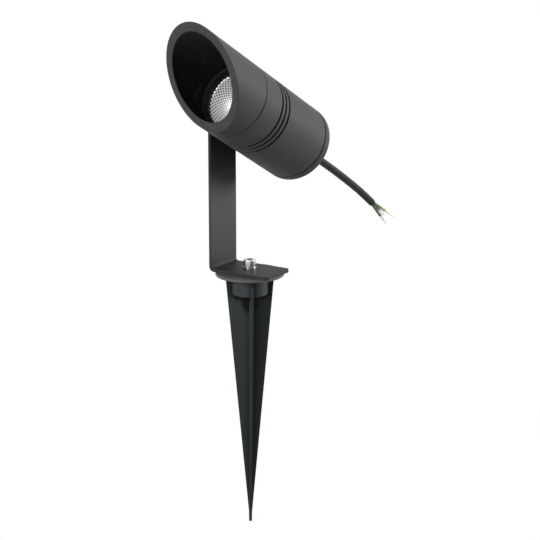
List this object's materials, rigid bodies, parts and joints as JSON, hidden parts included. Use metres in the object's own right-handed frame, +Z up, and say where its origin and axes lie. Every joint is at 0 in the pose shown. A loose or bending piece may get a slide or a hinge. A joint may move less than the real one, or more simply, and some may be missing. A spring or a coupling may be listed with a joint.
{
  "type": "garden spike spotlight",
  "caption": "Spotlight on a ground spike: tubular head with a slanted hood, tilting on a bent strap that turns on the spike's screw, with a short flying lead.",
  "frame": {"origin": "centre of the spike's flange underside, at soil level on the spike's axis", "axes": "+Z up along the spike's axis; the beam leaves towards -Y and rises 28 degrees; the bracket's strap is on the -X side"},
  "size_m": [0.0752, 0.2945, 0.4233],
  "materials": {
    "anthracite_metal": "fine-textured satin powder coat, anthracite",
    "black_anodised": "satin black anodised",
    "spike_plastic": "satin moulded plastic, near black",
    "stainless": "bright stainless steel",
    "brass": "machined brass",
    "glass": "clear tempered glass",
    "reflector_metal": "vacuum-metallised, faceted",
    "seal_rubber": "black silicone rubber",
    "gland_plastic": "black nylon",
    "white_plastic": "white heat-resistant plastic",
    "nylon": "natural nylon",
    "ceramic": "white ceramic substrate",
    "phosphor": "yellow phosphor under clear silicone",
    "thermal_grey": "grey thermal pad",
    "circuit_board": "green solder mask",
    "component_black": "black moulded components",
    "transformer_core": "grey ferrite and yellow tape",
    "terminal_green": "green terminal block",
    "cable_rubber": "matt black rubber sheath",
    "core_brown": "brown core insulation",
    "core_blue": "blue core insulation",
    "core_earth": "green and yellow core insulation",
    "wire_red": "red wire insulation",
    "tinned": "tinned copper ferrule"
  },
  "bodies": {
    "ground_spike": {"spike": "spike_plastic", "threaded_insert": "brass", "foot_screw": "stainless", "foot_split_washer": "stainless"},
    "bracket": {"mounting_bracket": "anthracite_metal"},
    "head": {"pivot_screw": "stainless", "pivot_split_washer": "stainless", "pivot_friction_washer": "nylon", "housing": "anthracite_metal", "hood": "anthracite_metal", "rear_cap": "anthracite_metal", "hood_o_ring": "seal_rubber", "rear_o_ring": "seal_rubber", "rear_cap_screws": "stainless", "glass_gasket": "seal_rubber", "front_glass": "glass", "glass_retaining_ring": "black_anodised", "reflector": "reflector_metal", "thermal_pad": "thermal_grey", "led_chip": "ceramic", "led_emitter": "phosphor", "led_holder": "white_plastic", "led_holder_screws": "stainless", "led_wires": "wire_red", "driver_board": "circuit_board", "board_standoffs": "brass", "board_screws": "stainless", "driver_transformer": "transformer_core", "driver_capacitors": "component_black", "driver_choke": "component_black", "input_terminal": "terminal_green", "supply_cores": "core_brown", "gland_gasket": "seal_rubber", "gland_body": "gland_plastic", "gland_locknut": "gland_plastic", "gland_seal": "seal_rubber", "gland_nut": "gland_plastic", "strain_relief": "cable_rubber", "gland_cable": "cable_rubber", "power_cable": "cable_rubber", "line_core": "core_brown", "neutral_core": "core_blue", "earth_core": "core_earth", "core_ferrules": "tinned"}
  },
  "joints": [
    {"name": "bracket_pan", "type": "hinge", "parent": "ground_spike", "child": "bracket", "pos_m": [0, 0, 0.005], "axis": [0, 0, 1], "continuous": true},
    {"name": "head_tilt", "type": "hinge", "parent": "bracket", "child": "head", "pos_m": [0.0085, 0, 0.1285], "axis": [-1, 0, 0], "range_deg": [-70, 45]}
  ]
}
